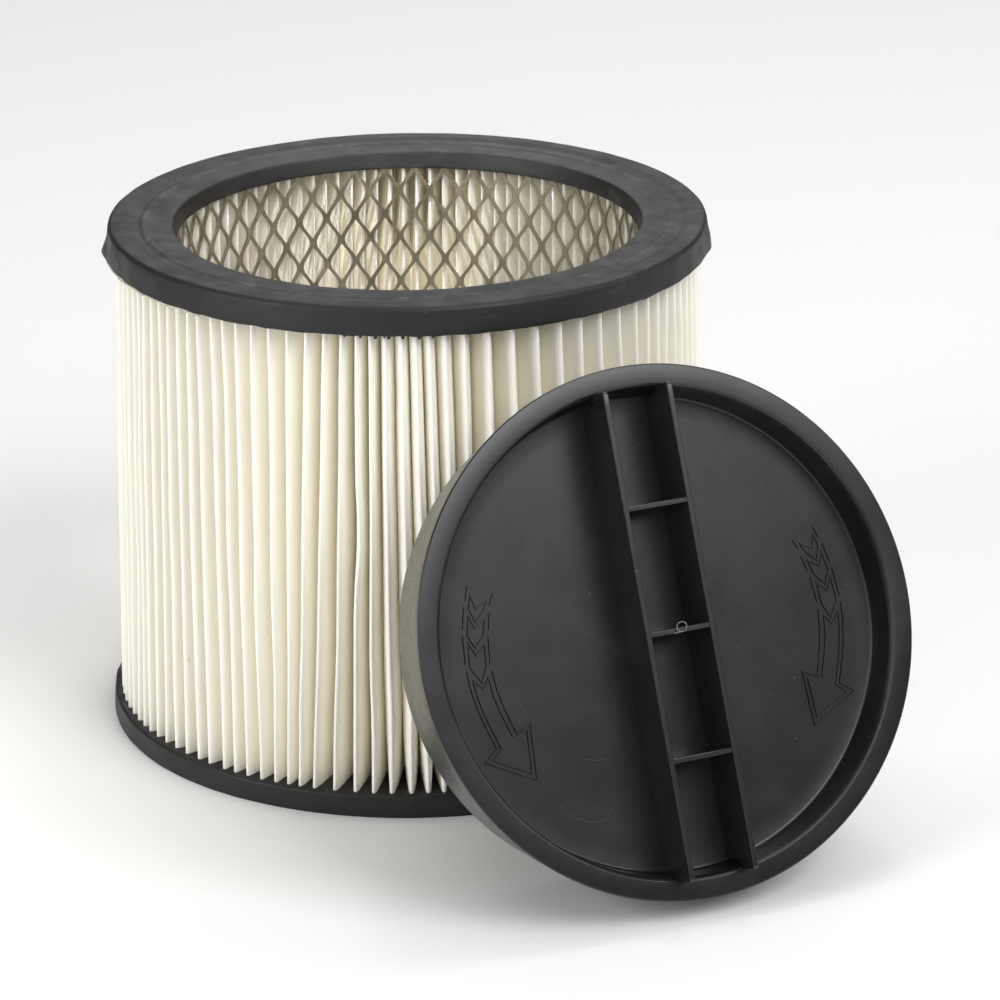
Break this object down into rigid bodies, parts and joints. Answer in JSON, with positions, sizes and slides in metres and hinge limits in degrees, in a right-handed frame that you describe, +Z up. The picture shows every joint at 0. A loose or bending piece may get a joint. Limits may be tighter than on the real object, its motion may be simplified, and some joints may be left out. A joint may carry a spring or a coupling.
{
  "type": "pleated vacuum cartridge filter with plug cap",
  "caption": "Round pleated paper filter between two rubber end rings, with an inner metal screen, and the ribbed plastic cap that plugs its far end leaning on it.",
  "frame": {"origin": "on the cartridge's axis, on the surface that its bottom end ring stands on", "axes": "+Z up along the cartridge's axis towards its open top, -Y towards the front, where the cap leans, +X to the right seen from the front"},
  "size_m": [0.256, 0.2898, 0.1683],
  "materials": {
    "ring_rubber": "matt, finely grained, with a dull sheen",
    "filter_paper": "matt cream paper",
    "screen_steel": "dull, slightly browned",
    "cap_plastic": "satin, with fine scratches"
  },
  "bodies": {
    "root": {"top_end_ring": "ring_rubber", "bottom_end_ring": "ring_rubber", "pleated_media": "filter_paper", "inner_screen": "screen_steel", "plug_cap": "cap_plastic"}
  },
  "joints": []
}
